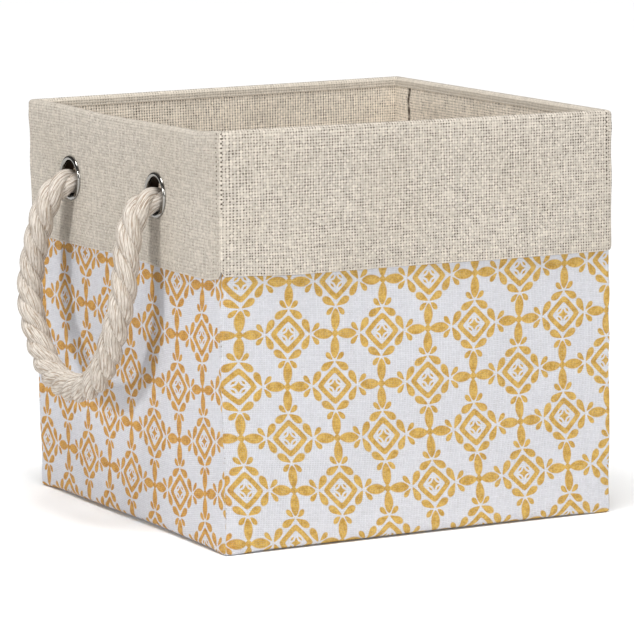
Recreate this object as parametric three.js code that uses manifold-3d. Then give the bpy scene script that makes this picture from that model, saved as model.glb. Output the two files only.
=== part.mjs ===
// A square fabric storage bin: board-stiffened cloth walls, a linen cuff folded over the rim,
// a loose covered base board, and two rope handles that hang from metal eyelets.
// Millimetres, +Z up. The origin is the centre of the underside; the front wall faces -Y.

import * as THREE from "three";
import { mergeVertices } from "three/addons/utils/BufferGeometryUtils.js";
import Module from "manifold-3d";

const wasm = await Module();
wasm.setup();

// ---- Driving dimensions ----

const width = 267; // outer side of the square plan
const height = 250; // floor to rim
const cuffDepth = 86.5; // rim to the cuff's lower edge
const lipDepth = 5; // how far the cuff turns down inside the rim

const gap = 0.3; // between pieces that touch
const cuffThickness = 1.0;
const panelThickness = 0.6;
const boardThickness = 2.0;
const liningThickness = 0.6;
const bottomClothThickness = 1.0;

const insertClearance = 2.0; // base insert to the lining, each side
const insertBoardThickness = 2.5;
const insertFlapWidth = 20; // cover cloth turned under the base board

const eyeletSpacing = 119; // between the two eyelets of a handle
const handleOffset = 13; // handle centre behind the middle of its wall
const eyeletHeight = 205;
const eyeletHoleRadius = 11;
const eyeletMetal = 0.5;
const eyeletFlangeRadius = 14.5;
const eyeletFlangeHeight = 1.8;
const washerRadius = 15;
const washerThickness = 0.6;

const ropeDiameter = 16;
const bendLength = 28; // rope that flexes between the eyelet and the stiff loop
const tubeSides = 12;
const roundSides = 28;

// ---- Derived places ----

const half = width / 2;
const floorTop = bottomClothThickness + gap;

// How far each layer of a wall lies in from the outer face: [outer side, inner side].
const cuffLayer = [0, cuffThickness];
const panelLayer = nextLayer(cuffLayer, panelThickness);
const boardLayer = nextLayer(panelLayer, boardThickness);
const liningLayer = nextLayer(boardLayer, liningThickness);
const wallThickness = liningLayer[1];

function nextLayer(outerLayer, thickness) {
  const start = outerLayer[1] + gap;
  return [start, start + thickness];
}

// ---- Materials ----

const linen = new THREE.MeshStandardMaterial({ color: "#cdc5b5", roughness: 0.95 });
const liningLinen = new THREE.MeshStandardMaterial({ color: "#bfb29c", roughness: 0.95 });
const printedCotton = new THREE.MeshStandardMaterial({ color: "#e9dfc6", roughness: 0.9 });
const plainCloth = new THREE.MeshStandardMaterial({ color: "#dedde0", roughness: 0.95 });
const cardboard = new THREE.MeshStandardMaterial({ color: "#9b8a70", roughness: 0.9 });
const nickel = new THREE.MeshStandardMaterial({ color: "#c9c7c3", roughness: 0.2, metalness: 1 });
const cottonRope = new THREE.MeshStandardMaterial({ color: "#ddd3c3", roughness: 0.95 });

// ---- Solid helpers ----

function solidOf(geometry) {
  const bare = geometry.clone();
  bare.deleteAttribute("normal");
  bare.deleteAttribute("uv");
  const merged = mergeVertices(bare, 1e-4);
  return new wasm.Manifold(
    new wasm.Mesh({
      numProp: 3,
      vertProperties: new Float32Array(merged.attributes.position.array),
      triVerts: new Uint32Array(merged.index.array),
    })
  );
}

function geometryOf(solid) {
  const mesh = solid.getMesh();
  const geometry = new THREE.BufferGeometry();
  geometry.setAttribute("position", new THREE.BufferAttribute(mesh.vertProperties, 3));
  geometry.setIndex(new THREE.BufferAttribute(mesh.triVerts, 1));
  return geometry;
}

function block(low, high) {
  const size = high.map((value, axis) => value - low[axis]);
  const middle = high.map((value, axis) => (value + low[axis]) / 2);
  return new THREE.BoxGeometry(...size).translate(...middle);
}

function turned(profile) {
  const points = profile.map(([radius, depth]) => new THREE.Vector2(radius, depth));
  return new THREE.LatheGeometry([...points, points[0]], roundSides);
}

// ---- Walls ----
// A wall is built as the front wall: X runs along it, -Y faces out of the bin, Z is up.
// Turning it about Z then puts it in its place. Left and right walls carry the handles.

const walls = [
  { name: "front", turn: 0 },
  { name: "right", turn: Math.PI / 2, handleCentre: handleOffset },
  { name: "back", turn: Math.PI },
  { name: "left", turn: -Math.PI / 2, handleCentre: -handleOffset },
];

// A wall layer's section is a list of [distance in from the outer face, height].
function wallBar(section) {
  const shape = new THREE.Shape(section.map(([inward, z]) => new THREE.Vector2(inward - half, z)));
  const bar = new THREE.ExtrudeGeometry(shape, { depth: width, bevelEnabled: false });
  bar.translate(0, 0, -half);
  const alongX = new THREE.Matrix4().makeBasis(
    new THREE.Vector3(0, 1, 0),
    new THREE.Vector3(0, 0, 1),
    new THREE.Vector3(1, 0, 0)
  );
  return solidOf(bar.applyMatrix4(alongX));
}

// The quarter of the plan that belongs to one wall, so that its layers meet at a mitre.
function mitreWedge() {
  const reach = width;
  const setback = (gap / 2) * Math.SQRT2;
  const triangle = new THREE.Shape([
    new THREE.Vector2(0, -setback),
    new THREE.Vector2(-reach, -reach - setback),
    new THREE.Vector2(reach, -reach - setback),
  ]);
  const wedge = new THREE.ExtrudeGeometry(triangle, { depth: 2 * height, bevelEnabled: false });
  return solidOf(wedge.translate(0, 0, -height / 2));
}

function eyeletPlaces(wall) {
  return [-1, 1].map((side) => wall.handleCentre + (side * eyeletSpacing) / 2);
}

function eyeletHole(along) {
  const radius = eyeletHoleRadius + eyeletMetal + gap;
  const drill = new THREE.CylinderGeometry(radius, radius, 4 * wallThickness, roundSides);
  return solidOf(drill.translate(along, -half, eyeletHeight));
}

function wallLayer(wall, section) {
  let layer = wallBar(section).intersect(mitreWedge());
  if (wall.handleCentre !== undefined) {
    for (const along of eyeletPlaces(wall)) layer = layer.subtract(eyeletHole(along));
  }
  return geometryOf(layer);
}

function sheetSection([outer, inner], low, high) {
  return [
    [outer, low],
    [inner, low],
    [inner, high],
    [outer, high],
  ];
}

// The cuff hooks over the rim: a deep outer skirt, the rim itself and a short lip inside.
function cuffSection() {
  const [outer, inner] = cuffLayer;
  const underRim = height - cuffThickness;
  const lipOuter = liningLayer[0];
  const lipInner = lipOuter + cuffThickness;
  return [
    [outer, height - cuffDepth],
    [inner, height - cuffDepth],
    [inner, underRim],
    [lipOuter, underRim],
    [lipOuter, height - lipDepth],
    [lipInner, height - lipDepth],
    [lipInner, height],
    [outer, height],
  ];
}

const underCuffTop = height - cuffThickness - gap;
const liningTop = height - lipDepth - gap;
const liningBottom = floorTop + liningThickness + gap;

const wallPieces = [
  { name: "cuff", material: linen, section: cuffSection() },
  {
    name: "print_panel",
    material: printedCotton,
    section: sheetSection(panelLayer, floorTop, underCuffTop),
  },
  {
    name: "board",
    material: cardboard,
    section: sheetSection(boardLayer, floorTop, underCuffTop),
  },
  {
    name: "lining",
    material: liningLinen,
    section: sheetSection(liningLayer, liningBottom, liningTop),
  },
];

// ---- Eyelets and washers ----
// Turned about the hole's axis, which runs inward from the wall's outer face.

const flangeBack = -gap;
const flangeFront = flangeBack - eyeletFlangeHeight;
const washerFace = wallThickness + gap;
const curlFace = washerFace + washerThickness + gap;
const curlHeight = 0.9;
const curlRadius = 13.2;

function eyeletGeometry() {
  const bore = eyeletHoleRadius;
  const barrel = bore + eyeletMetal;
  const crown = (bore + eyeletFlangeRadius) / 2;
  return turned([
    [bore, flangeBack - 0.6],
    [crown - 1.1, flangeFront + 0.2],
    [crown, flangeFront],
    [crown + 1.1, flangeFront + 0.4],
    [eyeletFlangeRadius, flangeBack - 0.4],
    [eyeletFlangeRadius - 0.4, flangeBack],
    [barrel, flangeBack],
    [barrel, curlFace],
    [curlRadius, curlFace],
    [curlRadius - 0.3, curlFace + curlHeight],
    [bore + 0.6, curlFace + curlHeight],
    [bore, curlFace],
  ]);
}

function washerGeometry() {
  const inner = eyeletHoleRadius + eyeletMetal + gap;
  return turned([
    [inner, washerFace],
    [washerRadius, washerFace],
    [washerRadius, washerFace + washerThickness],
    [inner, washerFace + washerThickness],
  ]);
}

// ---- Rope handle ----
// The middle line of the rope from one knot to the middle of the loop, as
// [out from the wall's outer face, sideways from the handle's centre, height].
// The other half is its mirror image.

const ropeHalfRoute = [
  [-16, 59.5, 202.5],
  [-8, 59.5, 202.5],
  [0, 59.5, 202.5],
  [5, 59.5, 202],
  [10, 59.8, 199.3],
  [14.6, 60.3, 194.2],
  [18, 61.3, 187.3],
  [20.5, 62.5, 179],
  [22.4, 63.9, 169.5],
  [24.3, 65.3, 158.5],
  [26.2, 66.1, 147],
  [28.2, 64.6, 135.5],
  [29.5, 59.9, 123.5],
  [29.7, 53.4, 112],
  [30, 45, 101.5],
  [30.3, 34.5, 92.3],
  [30.6, 22, 86.6],
  [30.7, 8, 84],
];

function ropeCurve() {
  const place = ([out, side, z]) => new THREE.Vector3(side, -half - out, z);
  const mirror = ([out, side, z]) => place([out, -side, z]);
  const points = [...ropeHalfRoute.map(place), ...ropeHalfRoute.map(mirror).reverse()];
  return new THREE.CatmullRomCurve3(points, false, "centripetal");
}

// One stretch of a longer curve, from one distance along it to another.
class Stretch extends THREE.Curve {
  constructor(curve, from, to) {
    super();
    this.curve = curve;
    this.from = from / curve.getLength();
    this.to = to / curve.getLength();
  }

  getPoint(t, target = new THREE.Vector3()) {
    return this.curve.getPointAt(this.from + (this.to - this.from) * t, target);
  }
}

const rope = ropeCurve();
rope.arcLengthDivisions = 800;
const ropeLength = rope.getLength();
const neckLength = 20;
const stepLength = 7;

function ropeTube(from, to) {
  const corners = [];
  for (let i = 0; i < tubeSides; i += 1) {
    const angle = (2 * Math.PI * i) / tubeSides;
    const radius = ropeDiameter / 2;
    corners.push(new THREE.Vector2(radius * Math.cos(angle), radius * Math.sin(angle)));
  }
  return new THREE.ExtrudeGeometry(new THREE.Shape(corners), {
    steps: Math.max(3, Math.round((to - from) / stepLength)),
    extrudePath: new Stretch(rope, from, to),
    bevelEnabled: false,
  });
}

function ropeLoop() {
  const start = neckLength + bendLength + gap;
  return ropeTube(start, ropeLength - start);
}

function ropeBend(side) {
  const from = neckLength + gap;
  const to = neckLength + bendLength;
  return side > 0 ? ropeTube(from, to) : ropeTube(ropeLength - to, ropeLength - from);
}

// The rope's end inside the bin: a neck through the eyelet, a knot and a cut tail.
const knotSize = [36, 31, 31]; // along the wall, across it, up
const tailLength = 30;

function ropeKnot(side) {
  const neck = side > 0 ? ropeTube(0, neckLength) : ropeTube(ropeLength - neckLength, ropeLength);
  const along = (side * eyeletSpacing) / 2;
  const inward = curlFace + curlHeight + gap + knotSize[1] / 2;
  const middle = [along, -half + inward, ropeHalfRoute[0][2]];
  const ball = new THREE.SphereGeometry(0.5, 16, 10).scale(...knotSize).translate(...middle);
  const radius = ropeDiameter / 2;
  const tail = new THREE.CylinderGeometry(radius, radius + 1, tailLength, tubeSides);
  tail.rotateX(Math.PI / 2);
  tail.translate(middle[0], middle[1], middle[2] - tailLength / 2);
  return geometryOf(solidOf(neck).add(solidOf(ball)).add(solidOf(tail)));
}

// ---- Floor and loose base insert ----

function bottomCloth() {
  const side = half - panelLayer[0];
  return block([-side, -side, 0], [side, side, bottomClothThickness]);
}

function floorLining() {
  const side = half - liningLayer[0];
  return block([-side, -side, floorTop], [side, side, floorTop + liningThickness]);
}

const insertBottom = floorTop + liningThickness + gap;
const insertHalf = half - wallThickness - insertClearance;
const insertBoardHalf = insertHalf - liningThickness - gap;
const insertBoardBottom = insertBottom + liningThickness + gap;
const insertBoardTop = insertBoardBottom + insertBoardThickness;
const insertTop = insertBoardTop + gap + liningThickness;

function squareBlock(side, low, high) {
  return block([-side, -side, low], [side, side, high]);
}

function insertBoard() {
  return squareBlock(insertBoardHalf, insertBoardBottom, insertBoardTop);
}

// The cover is one cloth over the board, turned down its edges and under it.
function insertCover() {
  const inside = insertHalf - liningThickness;
  const shell = solidOf(squareBlock(insertHalf, insertBottom, insertTop));
  const hollow = solidOf(
    squareBlock(inside, insertBottom + liningThickness, insertTop - liningThickness)
  );
  const opening = solidOf(
    squareBlock(insertHalf - insertFlapWidth, insertBottom - 1, insertBottom + 1)
  );
  return geometryOf(shell.subtract(hollow).subtract(opening));
}

// ---- Assembly ----

const bin = new THREE.Group();

function addPiece(name, geometry, material, parent = bin) {
  const mesh = new THREE.Mesh(geometry, material);
  mesh.name = name;
  parent.add(mesh);
  return mesh;
}

function addHandle(wall, place) {
  const handle = new THREE.Group();
  handle.position.x = wall.handleCentre;
  place.add(handle);
  addPiece(`${wall.name}_rope_loop`, ropeLoop(), cottonRope, handle);
  for (const side of [-1, 1]) {
    // Sideways is +Y on the right wall and -Y on the left one.
    const end = side * Math.sign(wall.turn) > 0 ? "back" : "front";
    const name = `${wall.name}_${end}`;
    const along = (side * eyeletSpacing) / 2;
    const eyelet = addPiece(`${name}_eyelet`, eyeletGeometry(), nickel, handle);
    const washer = addPiece(`${name}_washer`, washerGeometry(), nickel, handle);
    eyelet.position.set(along, -half, eyeletHeight);
    washer.position.set(along, -half, eyeletHeight);
    addPiece(`${name}_rope_bend`, ropeBend(side), cottonRope, handle);
    addPiece(`${name}_rope_knot`, ropeKnot(side), cottonRope, handle);
  }
}

for (const wall of walls) {
  const place = new THREE.Group();
  place.rotation.z = wall.turn;
  bin.add(place);
  for (const piece of wallPieces) {
    const geometry = wallLayer(wall, piece.section);
    addPiece(`${wall.name}_${piece.name}`, geometry, piece.material, place);
  }
  if (wall.handleCentre !== undefined) addHandle(wall, place);
}

addPiece("bottom_cloth", bottomCloth(), plainCloth);
addPiece("floor_lining", floorLining(), liningLinen);
addPiece("base_board", insertBoard(), cardboard);
addPiece("base_board_cover", insertCover(), liningLinen);

export default bin;
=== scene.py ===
# The looks of a square fabric storage bin: linen cuff, printed cotton walls, rope handles
# in nickel eyelets, a linen lining and a loose covered base board. Metres, in the CAD frame.

import math

import bpy
import numpy as np
from mathutils import Matrix, Vector


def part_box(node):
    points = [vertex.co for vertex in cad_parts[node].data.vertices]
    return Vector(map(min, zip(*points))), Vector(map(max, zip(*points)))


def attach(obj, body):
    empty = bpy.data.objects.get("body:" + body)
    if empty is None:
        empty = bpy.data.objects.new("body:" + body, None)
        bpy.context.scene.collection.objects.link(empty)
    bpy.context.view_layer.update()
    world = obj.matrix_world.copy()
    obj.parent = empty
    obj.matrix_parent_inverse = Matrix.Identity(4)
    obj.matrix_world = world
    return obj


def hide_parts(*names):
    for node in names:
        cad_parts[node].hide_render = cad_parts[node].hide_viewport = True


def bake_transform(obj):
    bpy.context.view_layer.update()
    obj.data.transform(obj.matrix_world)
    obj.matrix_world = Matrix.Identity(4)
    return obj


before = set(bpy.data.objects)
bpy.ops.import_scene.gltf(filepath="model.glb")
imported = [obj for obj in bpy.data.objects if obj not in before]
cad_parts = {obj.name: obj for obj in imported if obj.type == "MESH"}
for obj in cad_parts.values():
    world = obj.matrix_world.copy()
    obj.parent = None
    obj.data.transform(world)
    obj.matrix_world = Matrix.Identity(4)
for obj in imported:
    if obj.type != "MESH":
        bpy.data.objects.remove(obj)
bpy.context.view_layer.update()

# ---- Driving sizes, most of them read from the frame ----

mm = 0.001
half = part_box("right_cuff")[1].x  # outer face of a side wall
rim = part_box("front_cuff")[1].z
cuff_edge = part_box("front_cuff")[0].z
corner_radius = 1.6 * mm
flat_half = half - corner_radius  # a wall is flat this far from its middle


def layer(node):
    """How far a layer of the right wall lies in from the outer face: outer side, inner side."""
    lowest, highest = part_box(node)
    return half - highest.x, half - lowest.x


panel_layer = layer("right_print_panel")
board_layer = layer("right_board")
lining_layer = layer("right_lining")
cuff_inside = layer("right_cuff")[1]
cuff_thickness = 1.0 * mm
wall_back = lining_layer[1]
wall_step = 0.4  # how far apart in u the cuffs of two walls lie on their cloth

# A wall is made as the front wall, with X along it and -Y facing out, then turned about Z.
walls = {"front": 0, "right": 90, "back": 180, "left": -90}
handle_walls = ("right", "left")
handle_middle = sum(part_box("left_front_eyelet")[i].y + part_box("left_back_eyelet")[i].y for i in (0, 1)) / 4
eyelet_low, eyelet_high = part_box("left_front_eyelet")
eyelet_height = (eyelet_low.z + eyelet_high.z) / 2
eyelet_reach = (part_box("left_back_eyelet")[1].y - eyelet_low.y - (eyelet_high.z - eyelet_low.z)) / 2
hole_radius = 11.6 * mm

rope_diameter = 16 * mm
strand_lay = 43 * mm
strand_radius = 0.285 * rope_diameter
yarns_round_strand = 13
yarn_width = 2 * math.pi * strand_radius / yarns_round_strand
yarn_twist = 0.2 / mm  # radians round a strand for each metre along it


# ---- Camera ----


def make_camera():
    azimuth, elevation, roll = math.radians(28.14), math.radians(8.32), math.radians(-0.53)
    aim = Vector((-0.0008, -0.0011, 0.1157))
    distance = 2.555
    turn = Matrix.Rotation(-azimuth, 4, "Z") @ Matrix.Rotation(math.pi / 2 - elevation, 4, "X")
    turn = turn @ Matrix.Rotation(roll, 4, "Z")
    data = bpy.data.cameras.new("camera")
    data.sensor_width = 36
    data.lens = 231.73
    data.clip_start = 0.05
    data.clip_end = 100
    camera = bpy.data.objects.new("camera", data)
    bpy.context.scene.collection.objects.link(camera)
    camera.matrix_world = Matrix.Translation(aim) @ turn @ Matrix.Translation((0, 0, distance))
    bpy.context.scene.camera = camera


make_camera()


# ---- Shader building ----


class Field:
    """A number that varies over a surface, built up from shader nodes."""

    def __init__(self, tree, socket):
        self.tree = tree
        self.socket = socket

    def math(self, operation, *others):
        node = self.tree.nodes.new("ShaderNodeMath")
        node.operation = operation
        for place, value in zip(node.inputs, (self, *others)):
            give(self.tree, place, value)
        return Field(self.tree, node.outputs[0])

    def __add__(self, other):
        return self.math("ADD", other)

    def __sub__(self, other):
        return self.math("SUBTRACT", other)

    def __mul__(self, other):
        return self.math("MULTIPLY", other)

    def __truediv__(self, other):
        return self.math("DIVIDE", other)

    def __neg__(self):
        return self * -1.0

    __radd__ = __add__
    __rmul__ = __mul__

    def __rsub__(self, other):
        return -self + other

    def abs(self):
        return self.math("ABSOLUTE")

    def floor(self):
        return self.math("FLOOR")

    def fract(self):
        return self.math("FRACT")

    def sin(self):
        return self.math("SINE")

    def cos(self):
        return self.math("COSINE")

    def sqrt(self):
        return self.math("SQRT")

    def least(self, other):
        return self.math("MINIMUM", other)

    def most(self, other):
        return self.math("MAXIMUM", other)

    def rise(self, start, end, low=0.0, high=1.0):
        """low before start, high after end, and smooth between them."""
        node = self.tree.nodes.new("ShaderNodeMapRange")
        node.interpolation_type = "SMOOTHSTEP"
        for place, value in zip(node.inputs, (self, start, end, low, high)):
            give(self.tree, place, value)
        return Field(self.tree, node.outputs[0])


def give(tree, place, value):
    if isinstance(value, Field):
        tree.links.new(value.socket, place)
    else:
        place.default_value = value


class Finish:
    """A material being built, with the cloth's own coordinates: u along the wall, v up it."""

    def __init__(self, name, roughness=0.9, specular=0.25, metallic=0.0):
        self.material = bpy.data.materials.new(name)
        self.material.use_nodes = True
        self.tree = self.material.node_tree
        self.shader = self.tree.nodes["Principled BSDF"]
        self.shader.inputs["Roughness"].default_value = roughness
        self.shader.inputs["Specular IOR Level"].default_value = specular
        self.shader.inputs["Metallic"].default_value = metallic
        self.u, self.v = self.other_map("cloth")

    def other_map(self, name):
        """The two coordinates of a mesh's UV map."""
        place = self.tree.nodes.new("ShaderNodeUVMap")
        place.uv_map = name
        parts = self.tree.nodes.new("ShaderNodeSeparateXYZ")
        self.tree.links.new(place.outputs[0], parts.inputs[0])
        return Field(self.tree, parts.outputs[0]), Field(self.tree, parts.outputs[1])

    def point(self, x, y, z=0.0):
        node = self.tree.nodes.new("ShaderNodeCombineXYZ")
        for place, value in zip(node.inputs, (x, y, z)):
            give(self.tree, place, value)
        return node.outputs[0]

    def noise(self, x, y, seed=0.0, detail=2.0, roughness=0.5):
        """Smooth noise from 0 to 1, one bump to each unit of x and y."""
        node = self.tree.nodes.new("ShaderNodeTexNoise")
        node.inputs["Scale"].default_value = 1.0
        node.inputs["Detail"].default_value = detail
        node.inputs["Roughness"].default_value = roughness
        self.tree.links.new(self.point(x, y, seed), node.inputs["Vector"])
        return Field(self.tree, node.outputs[0])

    def dice(self, number, seed):
        """A random number from 0 to 1 for each whole number."""
        node = self.tree.nodes.new("ShaderNodeTexWhiteNoise")
        node.noise_dimensions = "2D"
        self.tree.links.new(self.point(number, seed), node.inputs["Vector"])
        return Field(self.tree, node.outputs[0])

    def blend(self, factor, low, high):
        """The colour low where factor is 0 and high where it is 1. Colours are linear RGB or sockets."""
        node = self.tree.nodes.new("ShaderNodeMix")
        node.data_type = "RGBA"
        give(self.tree, node.inputs[0], factor)
        for place, colour in ((node.inputs[6], low), (node.inputs[7], high)):
            if isinstance(colour, tuple):
                place.default_value = (*colour, 1)
            else:
                self.tree.links.new(colour, place)
        return node.outputs[2]

    def finish(self, colour, height, depth):
        """Colour socket, and a height field from about 0 to 1 that stands for depth metres."""
        self.tree.links.new(colour, self.shader.inputs["Base Color"])
        bump = self.tree.nodes.new("ShaderNodeBump")
        bump.inputs["Distance"].default_value = depth
        give(self.tree, bump.inputs["Height"], height)
        self.tree.links.new(bump.outputs[0], self.shader.inputs["Normal"])
        return self.material


def scaled(colour, factor):
    return tuple(channel * factor for channel in colour)


def plain_weave(finish, warp_pitch, weft_pitch, wander, seed=0.0, thin=0.62, thick=1.08):
    """Yarns that pass over and under each other. Gives the height, a tone for each yarn
    from 0 to 1, how open the cloth is at each point, the lines between upright yarns, and a
    random number for each hole."""
    u, v = finish.u, finish.v
    drift_u = finish.noise(u * 45.0, v * 18.0, seed + 1.0) - 0.5
    drift_v = finish.noise(u * 18.0, v * 45.0, seed + 2.0) - 0.5
    warp = u / warp_pitch + drift_u * wander
    weft = v / weft_pitch + drift_v * wander
    warp_id, weft_id = warp.floor(), weft.floor()
    warp_sign, weft_sign = (warp_id * math.pi).cos(), (weft_id * math.pi).cos()
    warp_girth = finish.noise(warp_id * 3.7, v * 90.0, seed + 3.0).rise(0.3, 0.7, thin, thick)
    weft_girth = finish.noise(weft_id * 3.7, u * 90.0, seed + 4.0).rise(0.3, 0.7, thin, thick)
    warp_round = 1.0 - ((warp.fract() - 0.5).abs() * 2.0 / warp_girth).math("POWER", 2.0)
    weft_round = 1.0 - ((weft.fract() - 0.5).abs() * 2.0 / weft_girth).math("POWER", 2.0)
    warp_top = warp_round * 0.6 + warp_sign * (weft * math.pi).sin() * 0.4
    weft_top = weft_round * 0.6 - weft_sign * (warp * math.pi).sin() * 0.4
    height = warp_top.most(weft_top)
    warp_shows = (warp_top - weft_top).rise(-0.15, 0.15)
    warp_change = finish.noise(warp_id * 5.3, v * 130.0, seed + 5.0)
    weft_change = finish.noise(weft_id * 5.3, u * 130.0, seed + 6.0)
    warp_tone = finish.dice(warp_id, seed + 0.3) * 0.2 + warp_change * 0.5
    weft_tone = finish.dice(weft_id, seed + 0.7) * 0.2 + weft_change * 0.5
    crossing = finish.dice(warp_id + weft_id * 57.0, seed + 0.5)
    tone = warp_tone * warp_shows + weft_tone * (1.0 - warp_shows) + crossing * 0.3
    gap = height.rise(-0.1, 0.5, 1.0, 0.0)
    between = ((warp.fract() - 0.5).abs() * 2.0).rise(0.4, 0.95)
    hole = finish.dice((warp + 0.5).floor() + (weft + 0.5).floor() * 131.0, seed + 0.9)
    return height, tone, gap, between, hole


# ---- Materials ----


def linen(name, seams, colour, contrast, openness, yarn_line_shade, side_smoothing_and_shade, inside_painted_light, seed):
    """Coarse natural linen with thick and thin yarns, slubs and short rows of pinholes. seams says
    how dark each place is where the cloth is sewn. Shade is painted into the weave's dips, along the
    lines between upright yarns, into the pinholes and over the side walls, and light is painted onto
    the rim's inner side and lip."""
    finish = Finish(name, roughness=0.93, specular=0.2)
    pitches = (1.85 * mm, 1.75 * mm)
    height, tone, gap, between, hole = plain_weave(finish, *pitches, 0.8, seed, thin=0.55, thick=0.95)
    u, v = finish.u, finish.v
    patches = finish.noise(u * 22.0, v * 22.0, seed + 8.0, detail=3.0)
    fibre = finish.noise(u * 1100.0, v * 1100.0, seed + 9.0)
    row_runs = finish.noise(u * 150.0, v * 500.0, seed + 10.0).rise(0.5, 0.62)
    column_runs = finish.noise(u * 500.0, v * 150.0, seed + 11.0).rise(0.48, 0.62)
    runs = row_runs.most(column_runs)
    wall_number = (u / wall_step).floor()
    side_wall = (wall_number * 0.5).fract().rise(0.2, 0.3)
    closer = 1.0 - side_wall * side_smoothing_and_shade
    holes = (gap * (hole.rise(0.35, 0.9, 0.1, 0.95) + runs * 0.75) * closer * openness).least(1.0)
    light, dark = scaled(colour, 1 + contrast), scaled(colour, 1 - contrast)
    yarn = finish.blend(tone.rise(0.28, 0.72), dark, light)
    # Painted shade: the weave's dips are darkened.
    rounded = finish.blend(height.rise(0.25, 0.95, 0.3, 0.0) * closer, yarn, scaled(colour, 0.45))
    warm = finish.blend(patches.rise(0.35, 0.7, 0.0, 0.2), rounded, (0.5, 0.435, 0.345))
    fibrous = finish.blend(fibre.rise(0.35, 0.75, 0.0, 0.25), warm, scaled(colour, 0.6))
    # Painted shade along the lines between upright yarns.
    yarn_lines_shaded = finish.blend(between * (0.4 + column_runs * 0.6) * yarn_line_shade, fibrous, scaled(colour, 0.35))
    marks = holes.most(seams(finish, u - wall_number * wall_step, v))
    # The pinholes are painted near black as shade; the seams' needle holes get the same dark colour.
    holes_shaded_and_seams = finish.blend(marks, yarn_lines_shaded, (0.075, 0.058, 0.042))
    # Painted shade: the side walls are darkened all over, besides having fewer open holes.
    side_walls_shaded = finish.blend(side_wall * side_smoothing_and_shade * 0.24, holes_shaded_and_seams, scaled(colour, 0.15))
    # Painted light: the rim's inner side and the lip inside it are made paler.
    inside_lit = finish.blend((v - 89 * mm).rise(0.0, 2 * mm, 0.0, inside_painted_light), side_walls_shaded, (0.86, 0.78, 0.66))
    return finish.finish(inside_lit, height + fibre * 0.3, 0.2 * mm)


def seam_marks(finish, u, v):
    """Two columns of needle holes beside each corner seam, near the rim."""
    width = 2 * half
    columns = (u - 1.0 * mm).abs().least((u - (width - 4.2 * mm)).abs())
    along = ((v / (2.7 * mm)).fract() - 0.5).abs() * 2.7 * mm
    dot = (columns * columns + along * along).sqrt().rise(0.35 * mm, 0.75 * mm, 1.0, 0.0)
    return dot * v.rise(34 * mm, 44 * mm)


def lining_seam(finish, u, v):
    """The dark, wavy line of the lining's seam, a little way round each corner."""
    wave = (v * 420.0).sin() * 0.4 * mm + (finish.noise(v * 130.0, 0.0, 15.0) - 0.5) * 3.0 * mm
    line = (u - (2 * half - 24.5 * mm) + wave).abs()
    tight = finish.noise(v * 260.0, 0.0, 16.0).rise(0.3, 0.6, 0.55, 1.0)
    return line.rise(0.9 * mm, 2.1 * mm, 1.0, 0.0) * tight


def motif_masks(finish, pitch_u, pitch_v):
    """Where the print is inked: crosses and medallions take turns on a square lattice."""
    u, v = finish.u / pitch_u, finish.v / pitch_v
    wobble_u = (finish.noise(u * 2.3, v * 2.3, 21.0) - 0.5) * 0.03
    wobble_v = (finish.noise(u * 2.3, v * 2.3, 22.0) - 0.5) * 0.03
    column, row = (u + 0.5).floor(), (v + 0.5).floor()
    x, y = (u - column + wobble_u).abs(), (v - row + wobble_v).abs()
    main, side = x.most(y), x.least(y)
    is_medallion = ((column + row) * 0.5).fract().rise(0.2, 0.3)

    def blot(centre, pointing, length, width):
        """A leaf shape, pointed where it points and blunt behind."""
        size = math.hypot(*pointing)
        ahead = tuple(part / size for part in pointing)
        from_main, from_side = main - centre[0], side - centre[1]
        along = (from_main * ahead[0] + from_side * ahead[1]) / (length / 2)
        across = (from_main * -ahead[1] + from_side * ahead[0]) / (width / 2)
        narrowing = 1.12 - along.rise(-0.6, 1.0, 0.0, 0.62)
        reach = (along * along + (across / narrowing).math("POWER", 2.0)).sqrt()
        return reach.rise(0.86, 1.1, 1.0, 0.0)

    edge = 0.014
    outside = main + (side * side + 0.0016).sqrt()
    inside = main + (side * side + 0.0004).sqrt()
    ring = outside.rise(0.396 - edge, 0.396 + edge, 1.0, 0.0) * inside.rise(0.254 - edge, 0.254 + edge)
    star = (main + side * 1.8).rise(0.095, 0.125, 1.0, 0.0)
    mark = blot((0.084, 0.084), (1, -1), 0.11, 0.05)
    petal = blot((0.388, 0.152), (0.125, -0.215), 0.31, 0.15)
    medallion = ring.most(star).most(mark).most(petal)

    # The crosses are a little taller than they are wide.
    main, side = x.most(y * 0.94), x.least(y * 0.94)
    bulge = 1.0 - ((main - 0.25) / 0.205).math("POWER", 2.0)
    fuller = bulge.most(0.0).math("POWER", 0.7)
    arm = (side - fuller * 0.094).rise(-edge, edge, 1.0, 0.0) * main.rise(0.448, 0.462, 1.0, 0.0)
    heart = (main + side).rise(0.075, 0.1, 1.0, 0.0)
    leaf = blot((0.415, 0.115), (0.12, -0.12), 0.21, 0.1)
    cross = arm.most(heart).most(leaf)
    return medallion * is_medallion + cross * (1.0 - is_medallion)


print_pitch = (31.65 * mm, 31.2 * mm)


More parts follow.
